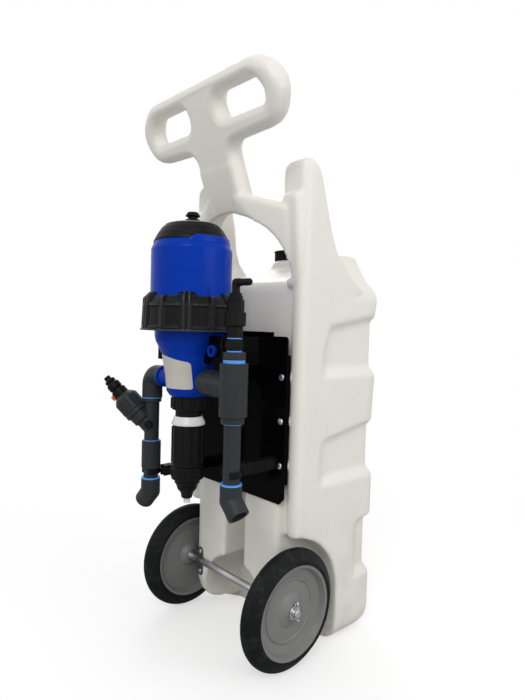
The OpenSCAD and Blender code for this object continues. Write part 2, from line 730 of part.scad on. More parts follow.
// Piston in the bell, with the rod and plunger that reach down into the dosing tube
module doser_piston() color("#d8d8d0") on_doser() {
    translate([0, 0, ring_z0 + 20]) cylinder(r = bell_r - bell_wall - run_gap, h = 14);
    translate([0, 0, ring_z0 + 34]) cylinder(r = 24, h = 10);
    translate([0, 0, plunger_z0]) cylinder(r = rod_r, h = ring_z0 + 20 - plunger_z0);
    translate([0, 0, plunger_z0]) cylinder(r = 14 - shaft_gap, h = 8);
}

module doser_nut() color("#151515") on_doser() difference() {
    union() {
        translate([0, 0, nut_z0]) chamfered(28.5, body_z0 - nut_z0, 1.5);
        for (a = [0:30:330]) rotate(a) translate([28, 0, nut_z0 + 2])
            cylinder(r = 2.4, h = body_z0 - nut_z0 - 5, $fn = 16);
    }
    translate([0, 0, nut_z0 - 1]) cylinder(r = plunger_bore, h = 60);
}

module doser_neck() color("#151515") on_doser() translate([0, 0, scale_z0 - 6])
    tube(22, 14, nut_z0 - scale_z0 + 6);

module scale_collar() color("#e8e8e6") on_doser() difference() {
    rotate_extrude()
        polygon([[0, scale_z0], [28, scale_z0], [28, scale_z0 + 3], [23, neck_z0], [0, neck_z0]]);
    translate([0, 0, scale_z0 - 1]) cylinder(r = 22.05, h = 40);
}

sleeve_r = 27.5;

module dose_adjuster() color("#161616") on_doser() difference() {
    union() {
        translate([0, 0, sleeve_z0]) chamfered(sleeve_r - 1.5, scale_z0 - sleeve_z0 - run_gap, 1);
        for (a = [0:30:330]) rotate(a) translate([sleeve_r - 3, 0, sleeve_z0 + 6])
            cylinder(r = 3.4, h = scale_z0 - sleeve_z0 - 10, $fn = 20);
    }
    translate([0, 0, sleeve_z0 - 1]) cylinder(r = 22 + shaft_gap, h = 100);
}

module lock_ring() color("#161616") on_doser() difference() {
    union() {
        translate([0, 0, lock_z0]) chamfered(27, sleeve_z0 - lock_z0 - run_gap, 1);
        for (a = [0:60:300]) rotate(a + 15) translate([26, 0, lock_z0 + 6]) cylinder(r = 3, h = 12, $fn = 16);
    }
    translate([0, 0, lock_z0 - 1]) cylinder(r = 14.3, h = 60);
}

core_z0 = sleeve_z0 - run_gap;

// Cone under the lock ring and, inside, the tube that the adjuster turns on
module suction_cone() color("#141414") on_doser() difference() {
    rotate_extrude() polygon([
        [0, cone_z0], [8.8, cone_z0], [9.5, cone_z0 + 2], [10.5, cone_z0 + 8], [16, cone_z0 + 15],
        [19, lock_z0 - 9], [21, lock_z0 - 7], [22, lock_z0], [14, lock_z0], [14, core_z0],
        [22, core_z0], [22, scale_z0 - 6], [0, scale_z0 - 6]]);
    translate([0, 0, cone_z0 - 1]) cylinder(r = 3, h = 80);
    translate([0, 0, core_z0 + 4]) cylinder(r = 14, h = 100);
}

module suction_tip() color("#e8e8e6") on_doser() difference() {
    union() {
        translate([0, 0, tip_z0]) cylinder(r = 5.5, h = cone_z0 - tip_z0);
        translate([0, 0, cone_z0]) cylinder(r = 2.95, h = 20);
    }
    translate([0, 0, tip_z0 - 1]) cylinder(r = 1.8, h = 60);
}

// ---------- bracket ----------

knob_x = 71;
knob_z = 522;
bracket_t = 4;
tee_z0 = 424;
tee_z1 = 506;
tee_r = 22;
tee_reach = 72;
bracket_x = column_x - tee_r - 2;
bracket_z0 = 500;
bracket_h = 46;

module doser_bracket() color("#141414") difference() {
    union() {
        translate([-96, plate_face - bracket_t, bracket_z0 - 8]) cube([192, bracket_t, bracket_h + 16]);
        both_sides() {
            translate([bracket_x - bracket_t, doser_y - bracket_t, bracket_z0])
                cube([bracket_t, doser_out + bracket_t, bracket_h]);
            translate([knob_x - 2, doser_y - bracket_t, bracket_z0])
                cube([bracket_x - knob_x + 2, bracket_t, bracket_h]);
            translate([knob_x - 7, doser_y - bracket_t, bracket_z0]) cube([6, bracket_t, bracket_h - 16]);
        }
    }
    both_sides() translate([knob_x, doser_y + 20, knob_z]) along_front() cylinder(r = stud_r, h = 40);
}

stud_r = 3.3;

module bracket_knob(side) translate([side * knob_x, doser_y + 12, knob_z]) along_front() {
    cylinder(r = stud_r - shaft_gap, h = 13 + bracket_t);
    translate([0, 0, 12 + bracket_t + run_gap]) {
        chamfered(8.5, 7, 1);
        for (a = [0:45:315]) rotate(a) translate([8.2, 0, 0]) cylinder(r = 1.6, h = 6.5, $fn = 16);
    }
}

module right_bracket_knob() color("#1238c0") bracket_knob(1);
module left_bracket_knob() color("#1238c0") bracket_knob(-1);

// ---------- pipework ----------

// Places a shape made about Z on a pipe column: side 1 is the outlet, -1 the inlet
module on_column(side) translate([side * column_x, doser_y, 0]) children();

// Socket fitting turned 45 degrees: a straight socket, a bend and an open socket
outlet_top = 319;
left_outlet_top = 278;
outlet_turn = 29;
outlet_len = 24;
socket_depth = 19;

module outlet_elbow(side, top) on_column(side) mirror([side < 0 ? 1 : 0, 0, 0])
    translate([0, 0, top - outlet_len]) difference() {
        union() {
            cylinder(r = socket_r, h = outlet_len);
            sphere(r = socket_r + 0.2);
            rotate([0, 135, 0]) cylinder(r = socket_r, h = outlet_turn);
        }
        translate([0, 0, outlet_len - socket_depth]) cylinder(r = bore_r, h = 60);
        rotate([0, 135, 0]) translate([0, 0, outlet_turn - socket_depth]) cylinder(r = bore_r, h = 60);
        sphere(r = pipe_r - pipe_wall + 0.2);
        cylinder(r = pipe_r - pipe_wall, h = 60);
        rotate([0, 135, 0]) cylinder(r = pipe_r - pipe_wall, h = 60);
    }

module right_outlet_elbow() color("#3d4144") outlet_elbow(1, outlet_top);
module left_outlet_elbow() color("#3d4144") outlet_elbow(-1, left_outlet_top);

right_pipe_top = 432;
pipe_low = outlet_top - socket_depth;

module right_pipe() color("#3d4144") on_column(1) translate([0, 0, pipe_low])
    tube(pipe_r, pipe_r - pipe_wall, right_pipe_top - pipe_low);

module outlet_tee() color("#3d4144") on_column(1) difference() {
    union() {
        translate([0, 0, tee_z0]) chamfered(tee_r, tee_z1 - tee_z0, 1);
        translate([0, 0, port_z]) rotate([0, -90, 0]) cylinder(r = 20, h = tee_reach);
        for (a = [0:45:315]) translate([-tee_reach + 3, 0, port_z]) rotate([a, 0, 0]) translate([0, 0, 19.5])
            along_x() cylinder(r = 1.6, h = 30, $fn = 16);
    }
    translate([0, 0, tee_z0 - 1]) cylinder(r = bore_r, h = 20);
    translate([0, 0, tee_z1 - 19]) cylinder(r = bore_r, h = 30);
    translate([0, 0, tee_z0 - 1]) cylinder(r = pipe_r - pipe_wall, h = 100);
    translate([0, 0, port_z]) rotate([0, -90, 0]) cylinder(r = pipe_r - pipe_wall, h = 60);
    translate([-tee_reach - 1, 0, port_z]) along_x()
        cylinder(r = port_r + 0.1, h = port_end + 1.4 - column_x + tee_reach);
}

collar_z = tee_z1 + 5;
adapter_z = collar_z + 14;
valve_z = adapter_z + 19.5;
swivel_z = valve_z + 57.5;

module tee_collars() color("#33373a") on_column(1) {
    translate([0, 0, tee_z0 - 10]) tube(18, pipe_r + 0.05, 10);
    translate([0, 0, collar_z]) difference() {
        chamfered(17.8, 12, 1);
        translate([0, 0, -1]) cylinder(r = 11.1, h = 30);
    }
}

module ring_at(z, r, bore, h) translate([0, 0, z]) tube(r, bore, h);

module right_rings() color("#6fb0ff") on_column(1) {
    ring_at(tee_z1, 17.2, 11.1, 5);
    ring_at(collar_z + 12, 12, 11.1, 2);
    ring_at(outlet_top, socket_r - 0.4, pipe_r + 0.05, 2.5);
    ring_at(adapter_z + 18, 11.9, 8, 1.5);
}

module valve_adapter() color("#202224") on_column(1) difference() {
    union() {
        translate([0, 0, tee_z1 - 17]) cylinder(r = 11, h = adapter_z - tee_z1 + 19);
        translate([0, 0, adapter_z]) chamfered(12.5, 18, 1);
        translate([0, 0, adapter_z + 5]) cylinder(r = 14.5, h = 8, $fn = 6);
    }
    translate([0, 0, tee_z1 - 24]) cylinder(r = 7, h = 80);
}

module check_valve() color("#1b1c1e") on_column(1) difference() {
    union() {
        translate([0, 0, valve_z]) chamfered(12.4, 17.5, 0.8);
        translate([0, 0, valve_z + 17.5]) chamfered(16, 22, 1.2);
        for (a = [0:30:330]) rotate(a) translate([15.6, 0, valve_z + 19.5])
            cylinder(r = 1.1, h = 18, $fn = 12);
        translate([0, 0, valve_z + 39.5]) cylinder(r = 13.6, h = swivel_z - valve_z - 39.5, $fn = 8);
    }
    translate([0, 0, valve_z - 2.5]) cylinder(r = 7, h = 50);
    translate([0, 0, swivel_z - 14]) cylinder(r = 8.2, h = 20);
}

barb_z = swivel_z + 26;
barb_r = 5.4;
elbow_r = 6.2;
barb_start = 9;
barb_end = 30;

module hose_elbow() color("#141414") on_column(1) {
    translate([0, 0, swivel_z - 12]) cylinder(r = 8.2 - shaft_gap, h = 12 + run_gap);
    translate([0, 0, swivel_z + run_gap]) cylinder(r = 11, h = 5.6);
    translate([0, 0, swivel_z + 6]) cylinder(r = 9, h = 4.2);
    translate([0, 0, swivel_z + 10]) cylinder(r = elbow_r, h = barb_z - swivel_z - 10);
    translate([0, 0, barb_z]) sphere(r = elbow_r);
    translate([0, 0, barb_z]) along_x() cylinder(r = elbow_r, h = barb_start);
    translate([0, 0, barb_z]) along_x() cylinder(r = barb_r, h = barb_end);
    translate([barb_end, 0, barb_z]) sphere(r = barb_r);
}

// ---------- inlet side ----------

elbow_drop = 42;
elbow_leg = port_z - elbow_drop;
wye_z = 378;
wye_low = 348;
branch_turn = 220;
branch_rise = 45;
branch_r = 15.5;

// Places a shape made along +Z on the branch of the wye
module on_branch(l) on_column(-1) translate([0, 0, wye_z - 6]) rotate([0, 0, branch_turn])
    rotate([0, 90 - branch_rise, 0]) translate([0, 0, l]) children();

elbow_end = socket_r + 1.2;

module inlet_elbow() color("#3d4144") on_column(-1) difference() {
    union() {
        translate([0, 0, elbow_leg]) cylinder(r = socket_r + 1, h = port_z - elbow_leg);
        translate([0, 0, port_z]) sphere(r = socket_r + 1);
        translate([0, 0, port_z]) along_x() cylinder(r = socket_r + 1, h = elbow_end);
    }
    translate([0, 0, port_z]) sphere(r = pipe_r - pipe_wall);
    translate([0, 0, elbow_leg - 1]) cylinder(r = pipe_r - pipe_wall, h = port_z - elbow_leg + 1);
    translate([0, 0, elbow_leg - 1]) cylinder(r = bore_r, h = 20);
    translate([0, 0, port_z]) along_x() cylinder(r = pipe_r - pipe_wall, h = 60);
    translate([5, 0, port_z]) along_x() cylinder(r = bore_r, h = 60);
}

module inlet_collar() color("#16387f") on_column(-1) difference() {
    union() {
        translate([5.2, 0, port_z]) along_x() cylinder(r = pipe_r, h = column_x - port_end - 5.2);
        translate([elbow_end + 0.3, 0, port_z]) along_x()
            chamfered(19, column_x - port_end - elbow_end - 0.3, 1);
    }
    translate([0, 0, port_z]) along_x() cylinder(r = 10, h = 60);
}

nut_h = 8;
nut_low = elbow_leg - nut_h;
union_l = 45;
union_h = 29.4;

module inlet_nut() color("#34383b") on_column(-1) difference() {
    union() {
        translate([0, 0, nut_low]) cylinder(r = pipe_r, h = elbow_leg + 18 - nut_low);
        translate([0, 0, nut_low]) chamfered(17, nut_h, 1);
    }
    translate([0, 0, nut_low - 1]) cylinder(r = pipe_r - pipe_wall, h = 60);
}

module inlet_wye() color("#3d4144") difference() {
    union() {
        on_column(-1) translate([0, 0, wye_low - 15]) cylinder(r = pipe_r, h = nut_low - wye_low + 15);
        on_branch(0) cylinder(r = branch_r, h = 36);
        on_branch(30) cylinder(r = 19.6, h = union_l - 30.4);
    }
    on_column(-1) translate([0, 0, wye_low - 20]) cylinder(r = pipe_r - pipe_wall, h = 120);
    on_branch(0) cylinder(r = 9, h = 60);
    on_column(-1) translate([0, 0, wye_z + 2]) rotate([90, 0, 40]) cylinder(r = 3.1, h = 30);
}

module drain_knob() color("#111111") on_column(-1) translate([0, 0, wye_z + 2]) rotate([90, 0, 40]) {
    translate([0, 0, 11.5]) cylinder(r = 3.1 - shaft_gap, h = 6);
    translate([0, 0, branch_r + run_gap]) chamfered(7.5, 6, 1);
}

module union_nut() color("#4a4d50") difference() {
    union() {
        on_branch(union_l) chamfered(22, union_h, 2);
        on_branch(union_l + 3.5) for (a = [0:30:330]) rotate(a) translate([21.4, 0, 0])
            cylinder(r = 2, h = union_h - 6.5, $fn = 16);
        on_branch(union_l + union_h - 0.4) cylinder(r1 = 20, r2 = 15, h = 6);
    }
    on_branch(union_l - 1) cylinder(r = 19.8, h = 6);
    on_branch(union_l - 1) cylinder(r = 10.4, h = 60);
}

barrel_l = union_l + union_h + 5.9;
barrel_h = 14;

module quick_connector() color("#161616") difference() {
    union() {
        on_branch(union_l + 7) cylinder(r = 10.2, h = union_h + 0.6);
        on_branch(barrel_l) chamfered(14, barrel_h, 1);
        on_branch(barrel_l + barrel_h - 0.3) cylinder(r = 9.5, h = 6);
        on_branch(barrel_l + 18.7) chamfered(12, 7, 1.5);
        on_branch(barrel_l + 24.7) cylinder(r = 8, h = 8);
        on_branch(barrel_l + 31.7) chamfered(10, 6, 1.5);
        on_branch(barrel_l + 36.7) cylinder(r = nipple_r, h = 8.5);
    }
    on_branch(union_l + 5) cylinder(r = 4.5, h = 100);
    on_branch(barrel_l + 2.5) translate([tab_in, -tab_w / 2 - 0.4, 0]) cube([20, tab_w + 0.8, 9]);
}

nipple_r = 6;
tab_in = 9.5;
tab_w = 9.6;
tab_travel = 2;

module release_tab() color("#e8501a") on_branch(barrel_l + 2.9)
    translate([tab_in + tab_travel, -tab_w / 2, 0]) cube([7, tab_w, 8.2]);

coupling_z0 = 298;

module left_coupling() color("#3d4144") on_column(-1) {
    difference() {
        translate([0, 0, coupling_z0]) chamfered(socket_r, wye_low - coupling_z0, 0.8);
        translate([0, 0, coupling_z0 - 1]) cylinder(r = pipe_r - pipe_wall, h = 80);
        translate([0, 0, wye_low - 16]) cylinder(r = bore_r, h = 40);
        translate([0, 0, coupling_z0 - 1]) cylinder(r = bore_r, h = 18);
    }
}

module left_lower_pipe() color("#3d4144") on_column(-1) translate([0, 0, left_outlet_top - socket_depth])
    tube(pipe_r, pipe_r - pipe_wall, coupling_z0 + 17 - left_outlet_top + socket_depth);

module left_ring() color("#3b3f42") on_column(-1)
    ring_at(left_outlet_top, socket_r - 0.4, pipe_r + 0.05, 2.5);

// ---------- comb rail ----------

clip_r = pipe_r + 0.3;
arm_w = 14;
arm_x = screw_x - 14;
arm_h = 19;
right_arm_z = 336;
left_arm_z = 292.4;
slot_pitch = 11;

// A slotted arm from the plate to a pipe
module comb_arm(side, z) {
    reach = plate_face - doser_y - clip_r - 3;
    translate([side * arm_x - arm_w / 2, doser_y + clip_r + 3, z - arm_h / 2]) difference() {
        cube([arm_w, reach, arm_h]);
        translate([4, -1, -1]) cube([arm_w - 8, reach - 3, arm_h + 2]);
    }
    for (i = [1:floor((reach - 6) / slot_pitch)])
        translate([side * arm_x - arm_w / 2, plate_face - 4 - i * slot_pitch, z - arm_h / 2])
            cube([arm_w, 3, arm_h]);
}

module comb_rail() color("#161616") {
    comb_arm(1, right_arm_z);
    comb_arm(-1, left_arm_z);
}

// An open clip round a pipe, with a foot on the arm's end
module pipe_clip(side, z) {
    translate([side * column_x, doser_y, z - 5]) rotate(-50) rotate_extrude(angle = 280)
        translate([clip_r, 0]) square([2.7, 10]);
    foot_w = column_x - 6 - arm_x + arm_w / 2;
    translate([side * (arm_x - arm_w / 2 + foot_w / 2) - foot_w / 2, doser_y + clip_r - 1, z - 4])
        cube([foot_w, 4, 8]);
}

module pipe_clips() color("#161616") {
    pipe_clip(1, right_arm_z);
    pipe_clip(-1, left_arm_z);
}

tank();
tank_cap();
cap_gasket();
axle();
axle_straps();
strap_screws();
axle_washers();
cotter_pins();
right_tyre();
right_wheel_disc();
right_bush();
left_tyre();
left_wheel_disc();
left_bush();
mounting_plate();
plate_screws();
doser_bracket();
right_bracket_knob();
left_bracket_knob();
doser_bell();
doser_top_cap();
vent_button();
clamp_ring();
doser_body();
label_panel();
doser_piston();
doser_nut();
doser_neck();
scale_collar();
dose_adjuster();
lock_ring();
suction_cone();
suction_tip();
inlet_elbow();
inlet_collar();
inlet_nut();
inlet_wye();
drain_knob();
union_nut();
quick_connector();
release_tab();
left_coupling();
left_lower_pipe();
left_outlet_elbow();
left_ring();
outlet_tee();
tee_collars();
valve_adapter();
check_valve();
hose_elbow();
right_pipe();
right_outlet_elbow();
right_rings();
comb_rail();
pipe_clips();
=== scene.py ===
import math
import bmesh
import bpy
from mathutils import Matrix, Vector


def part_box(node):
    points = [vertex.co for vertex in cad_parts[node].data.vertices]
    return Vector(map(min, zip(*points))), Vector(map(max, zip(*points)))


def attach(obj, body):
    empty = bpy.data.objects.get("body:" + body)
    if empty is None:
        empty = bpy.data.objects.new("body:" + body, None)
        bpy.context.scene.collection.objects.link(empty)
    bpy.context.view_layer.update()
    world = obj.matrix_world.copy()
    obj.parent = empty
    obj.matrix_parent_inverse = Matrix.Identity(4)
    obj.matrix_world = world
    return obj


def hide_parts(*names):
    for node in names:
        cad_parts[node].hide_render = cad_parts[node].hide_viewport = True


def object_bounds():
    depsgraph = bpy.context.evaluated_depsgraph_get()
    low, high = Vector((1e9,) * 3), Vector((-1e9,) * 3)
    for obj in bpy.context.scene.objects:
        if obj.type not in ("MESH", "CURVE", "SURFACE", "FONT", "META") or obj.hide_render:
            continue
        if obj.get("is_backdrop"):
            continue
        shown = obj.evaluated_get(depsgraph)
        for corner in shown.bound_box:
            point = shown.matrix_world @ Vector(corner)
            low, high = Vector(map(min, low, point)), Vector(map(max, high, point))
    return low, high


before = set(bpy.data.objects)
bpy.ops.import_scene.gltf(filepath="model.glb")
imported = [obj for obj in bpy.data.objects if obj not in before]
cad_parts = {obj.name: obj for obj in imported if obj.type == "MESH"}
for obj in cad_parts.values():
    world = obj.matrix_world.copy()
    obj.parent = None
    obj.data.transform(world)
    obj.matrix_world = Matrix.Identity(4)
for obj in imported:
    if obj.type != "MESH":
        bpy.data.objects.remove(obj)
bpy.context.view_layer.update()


# The tank is one hollow piece of white polyethylene, spun in a hot mould together with its corner
# posts, arch, stem and two-loop handle. Every edge comes out soft, and the skin keeps a faint dimple.
class Wire:
    """One socket of a material: arithmetic on it adds Math nodes."""

    def __init__(self, tree, socket):
        self.tree, self.socket = tree, socket

    def add(self, kind, settings=None, sockets=None, out=0):
        """A new node of any type: first its settings, then the values or links of its sockets."""
        node = self.tree.nodes.new("ShaderNode" + kind)
        for name, value in (settings or {}).items():
            setattr(node, name, value)
        for name, value in (sockets or {}).items():
            if isinstance(value, Wire):
                self.tree.links.new(value.socket, node.inputs[name])
            else:
                node.inputs[name].default_value = value
        return Wire(self.tree, node.outputs[out] if node.outputs else None)

    def maths(self, operation, a, b):
        return self.add("Math", {"operation": operation}, {0: a, 1: b})

    def __add__(self, other):
        return self.maths("ADD", self, other)

    def __radd__(self, other):
        return self.maths("ADD", other, self)

    def __sub__(self, other):
        return self.maths("SUBTRACT", self, other)

    def __rsub__(self, other):
        return self.maths("SUBTRACT", other, self)

    def __mul__(self, other):
        return self.maths("MULTIPLY", self, other)

    def __rmul__(self, other):
        return self.maths("MULTIPLY", other, self)

    def noise(self, scale, detail=3.0, rough=0.5):
        return self.add("TexNoise", None, {
            "Vector": self, "Scale": scale, "Detail": detail, "Roughness": rough})

    def stretched(self, x, y, z):
        return self.add("VectorMath", {"operation": "MULTIPLY"}, {0: self, 1: (x, y, z)})

    def blend(self, under, over):
        """A colour that goes from one to the other as this value goes from 0 to 1."""
        factor, first, second, result = 0, 6, 7, 2
        return self.add("Mix", {"data_type": "RGBA"}, {factor: self, first: under, second: over}, result)

    def tint(self, dark, light):
        return self.blend((*dark, 1), (*light, 1))

    def between(self, low, high):
        """0 below the low value, 1 above the high one, and straight between them."""
        return self.add("MapRange", None, {"Value": self, "From Min": low, "From Max": high})


def new_finish(name, **fixed):
    """A material with its fixed values set, and the place on the piece as a Wire."""
    made = bpy.data.materials.new(name)
    made.use_nodes = True
    skin = made.node_tree.nodes["Principled BSDF"]
    for socket, value in fixed.items():
        skin.inputs[socket.replace("_", " ")].default_value = value
    place = made.node_tree.nodes.new("ShaderNodeTexCoord")
    return made, skin, Wire(made.node_tree, place.outputs["Object"])


def join(skin, wire, socket):
    wire.tree.links.new(wire.socket, skin.inputs[socket])


def bump(skin, height, depth, strength=1.0, edge=0.0007):
    """Relief from a height, over edges that look broken by the given radius."""
    worn = height.add("Bevel", {"samples": 4}, {"Radius": edge})
    relief = height.add("Bump", None, {
        "Height": height, "Distance": depth, "Strength": strength, "Normal": worn})
    join(skin, relief, "Normal")


tank_white, skin, place = new_finish("moulded_polyethylene", IOR=1.5, Subsurface_Weight=0.12,
                                     Subsurface_Radius=(1.0, 0.95, 0.85), Subsurface_Scale=0.006)
cloud = place.noise(7.0, 4.0)
speck = place.noise(190.0, 2.0)
scuff = place.stretched(9, 9, 3).noise(9.0, 6.0, 0.7).between(0.6, 0.78)
# The skin goes darker towards the bottom, in patches.
darkening_low, darkening_high = 0.02, 0.35
low_down = 1 - place.add("SeparateXYZ", None, {0: place}, "Z").between(darkening_low, darkening_high)
low_dark_patches = low_down * place.noise(24.0, 5.0).between(0.42, 0.75)
along_scratch = place.add("Mapping", None, {
    "Vector": place, "Rotation": (0.5, 0.9, 0.4), "Scale": (9, 150, 16)})
hairline = along_scratch.noise(1.6, 2.0).between(0.66, 0.74) * place.noise(6.0).between(0.5, 0.62)
tone = cloud.tint((0.78, 0.752, 0.692), (0.84, 0.822, 0.77))
tone = (low_dark_patches * 0.35).blend(tone, (0.52, 0.50, 0.46, 1))
tone = (hairline * 0.35).blend(tone, (0.42, 0.40, 0.36, 1))
join(skin, tone, "Base Color")
join(skin, 0.36 + scuff * 0.14 + speck * 0.08, "Roughness")
bump(skin, speck * 0.5 + place.noise(55.0, 2.0) * 0.5, 0.0006, 0.35)

weld_gap, tank_voxel = 0.00001, 0.0026
tank_shell = bpy.data.objects.new("tank_shell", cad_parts["tank"].data.copy())
bpy.context.scene.collection.objects.link(tank_shell)
weld = tank_shell.modifiers.new("weld", "WELD")
weld.merge_threshold = weld_gap
grain = tank_shell.modifiers.new("grain", "REMESH")
grain.mode = "VOXEL"
grain.voxel_size = tank_voxel
grain.use_smooth_shade = True
soft = tank_shell.modifiers.new("soft", "SMOOTH")
soft.factor = 0.5
soft.iterations = 14
graph = bpy.context.evaluated_depsgraph_get()
soft_mesh = bpy.data.meshes.new_from_object(tank_shell.evaluated_get(graph), depsgraph=graph)
tank_shell.modifiers.clear()
tank_shell.data = soft_mesh
soft_mesh.materials.clear()
soft_mesh.materials.append(tank_white)
soft_mesh.polygons.foreach_set("use_smooth", [True] * len(soft_mesh.polygons))
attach(tank_shell, "cart")
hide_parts("tank")


# The screw cap is ribbed black polypropylene, moulded matt, and closes on a cream rubber gasket.
# It turns on the tank's neck.
def dress(material, *nodes):
    """Give CAD nodes a material in place of the one they came with."""
    for node in nodes:
        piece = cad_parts[node]
        piece.data.materials.clear()
        piece.data.materials.append(material)


matt_black, skin, place = new_finish("matt_black_plastic", IOR=1.2)
fleck = place.noise(420.0, 2.0)
wear = place.noise(38.0, 5.0, 0.65).between(0.55, 0.8)
join(skin, wear.tint((0.005, 0.005, 0.0055), (0.014, 0.014, 0.015)), "Base Color")
join(skin, 0.42 + fleck * 0.16 + wear * 0.08, "Roughness")
bump(skin, fleck, 0.00025, 0.5)
dress(matt_black, "tank_cap")

seal_rubber, skin, place = new_finish("cream_rubber")
join(skin, place.noise(60.0).tint((0.56, 0.52, 0.42), (0.68, 0.64, 0.54)), "Base Color")
join(skin, 0.6 + place.noise(200.0) * 0.2, "Roughness")
dress(seal_rubber, "cap_gasket")


# The axle is bright drawn steel, held to the legs by two dark steel straps with zinc screws, and
# closed at each end by a washer and a split pin.
bright_steel, skin, place = new_finish("bright_steel", Metallic=1.0)
drawn = place.stretched(2, 90, 90).noise(20.0, 4.0, 0.6)
haze = place.noise(30.0, 4.0).between(0.4, 0.75)
join(skin, haze.tint((0.62, 0.63, 0.65), (0.42, 0.42, 0.42)), "Base Color")
join(skin, 0.22 + drawn * 0.16 + haze * 0.12, "Roughness")
bump(skin, drawn, 0.00008, 0.4)
dress(bright_steel, "axle", "axle_washers", "cotter_pins", "plate_screws", "strap_screws")

strap_steel, skin, place = new_finish("dark_strap_steel", Metallic=0.9)
rub = place.noise(120.0, 5.0, 0.7).between(0.5, 0.8)
join(skin, rub.tint((0.16, 0.165, 0.17), (0.34, 0.34, 0.34)), "Base Color")
join(skin, 0.45 - rub * 0.14, "Roughness")
bump(skin, rub, 0.0001, 0.4)
dress(strap_steel, "axle_straps")


# Each wheel is a grey moulded disc with a solid black rubber tyre on it, and a plain bush in its hub.
# The rubber carries a little dust on its tread.
tyre_rubber, skin, place = new_finish("tyre_rubber", IOR=1.22)
dust = place.noise(46.0, 6.0, 0.7).between(0.5, 0.85)
grit = place.noise(650.0, 2.0)
join(skin, dust.tint((0.006, 0.0065, 0.007), (0.034, 0.036, 0.036)), "Base Color")
join(skin, 0.5 + dust * 0.2 + grit * 0.1, "Roughness")
bump(skin, grit, 0.0003, 0.5)
dress(tyre_rubber, "right_tyre", "left_tyre")

wheel_grey, skin, place = new_finish("wheel_grey_plastic", IOR=1.36)
flow = place.noise(18.0, 5.0, 0.6)
pore = place.noise(500.0, 2.0)
join(skin, flow.tint((0.175, 0.175, 0.172), (0.235, 0.235, 0.23)), "Base Color")
join(skin, 0.24 + flow * 0.12 + pore * 0.06, "Roughness")
bump(skin, pore, 0.0002, 0.4)
dress(wheel_grey, "right_wheel_disc", "left_wheel_disc")

bush_plastic, skin, place = new_finish("bush_plastic")
join(skin, place.noise(80.0).tint((0.03, 0.03, 0.03), (0.06, 0.06, 0.06)), "Base Color")
join(skin, 0.4 + place.noise(200.0) * 0.15, "Roughness")
dress(bush_plastic, "right_bush", "left_bush")


# The mounting plate is folded sheet with a glossy black coat, held by six zinc screws.
# Fine wipe marks and a little orange peel show in its shine.
gloss_black, skin, place = new_finish("gloss_black_coat", IOR=1.11)
peel = place.noise(160.0, 2.0)
wipes = place.stretched(1, 1, 14).noise(30.0, 6.0, 0.75).between(0.5, 0.85)
join(skin, wipes.tint((0.0015, 0.0015, 0.002), (0.005, 0.005, 0.0055)), "Base Color")
join(skin, 0.1 + wipes * 0.16, "Roughness")
bump(skin, peel, 0.00015, 0.3)
dress(gloss_black, "mounting_plate", "doser_bracket")


# The doser's bell, lower body and knobs are royal blue nylon with a high shine.
# The moulding leaves a slight waviness in the reflections.
royal_blue, skin, place = new_finish("royal_blue_nylon", IOR=1.17)
swirl = place.noise(14.0, 4.0)
orange_peel = place.noise(120.0, 2.0)
join(skin, swirl.tint((0.0002, 0.026, 0.31), (0.0006, 0.044, 0.44)), "Base Color")
join(skin, 0.18 + swirl * 0.14, "Roughness")
bump(skin, orange_peel, 0.0002, 0.3)
dress(royal_blue, "doser_bell", "doser_body")


def box_mm(node):
    """A node's lowest and highest corners at rest, in millimetres."""
    return [[value * 1000 for value in corner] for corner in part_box(node)]


bell_low, bell_high = box_mm("doser_bell")
doser_x, doser_y = (bell_low[0] + bell_high[0]) / 2, (bell_low[1] + bell_high[1]) / 2


def round_doser(radius, turn, height):
    """A point at a radius and a turn in radians round the doser's axis."""
    return doser_x + radius * math.cos(turn), doser_y + radius * math.sin(turn), height


def eased(line, radius, steps=3):
    """A closed outline with each corner rounded by up to the given radius."""
    most_of_side = 0.45
    out = []
    for i, point in enumerate(line):
        corner = Vector(point)
        to_last = Vector(line[i - 1]) - corner
        to_next = Vector(line[(i + 1) % len(line)]) - corner
        back = min(radius, to_last.length * most_of_side, to_next.length * most_of_side)
        start = corner + to_last.normalized() * back
        end = corner + to_next.normalized() * back
        for k in range(steps + 1):
            t = k / steps
            out.append(tuple(start * (1 - t) ** 2 + corner * 2 * t * (1 - t) + end * t ** 2))
    return out


def grown(name, rows, material, closed=True, smooth=35):
    """A piece through rows of points in millimetres, each row a closed outline.

    A closed piece goes on from its last row to its first, and any other ends in two flat caps.
    Edges sharper than the given degrees stay sharp."""
    mesh = bpy.data.meshes.new(name)
    count = len(rows[0])
    points = [Vector(p) / 1000 for row in rows for p in row]
    faces = []
    for j in range(len(rows) if closed else len(rows) - 1):
        here, there = j * count, (j + 1) % len(rows) * count
        for i in range(count):
            beside = (i + 1) % count
            faces.append((here + i, here + beside, there + beside, there + i))
    if not closed:
        last = (len(rows) - 1) * count
        faces += [tuple(range(count))[::-1], tuple(range(last, last + count))]
    mesh.from_pydata(points, [], faces)
    work = bmesh.new()
    work.from_mesh(mesh)
    bmesh.ops.remove_doubles(work, verts=work.verts, dist=1e-6)
    bmesh.ops.recalc_face_normals(work, faces=work.faces)
    work.to_mesh(mesh)
    work.free()
    mesh.polygons.foreach_set("use_smooth", [True] * len(mesh.polygons))
    mesh.set_sharp_from_angle(angle=math.radians(smooth))
    mesh.materials.append(material)
    piece = bpy.data.objects.new(name, mesh)
    bpy.context.scene.collection.objects.link(piece)
    return piece


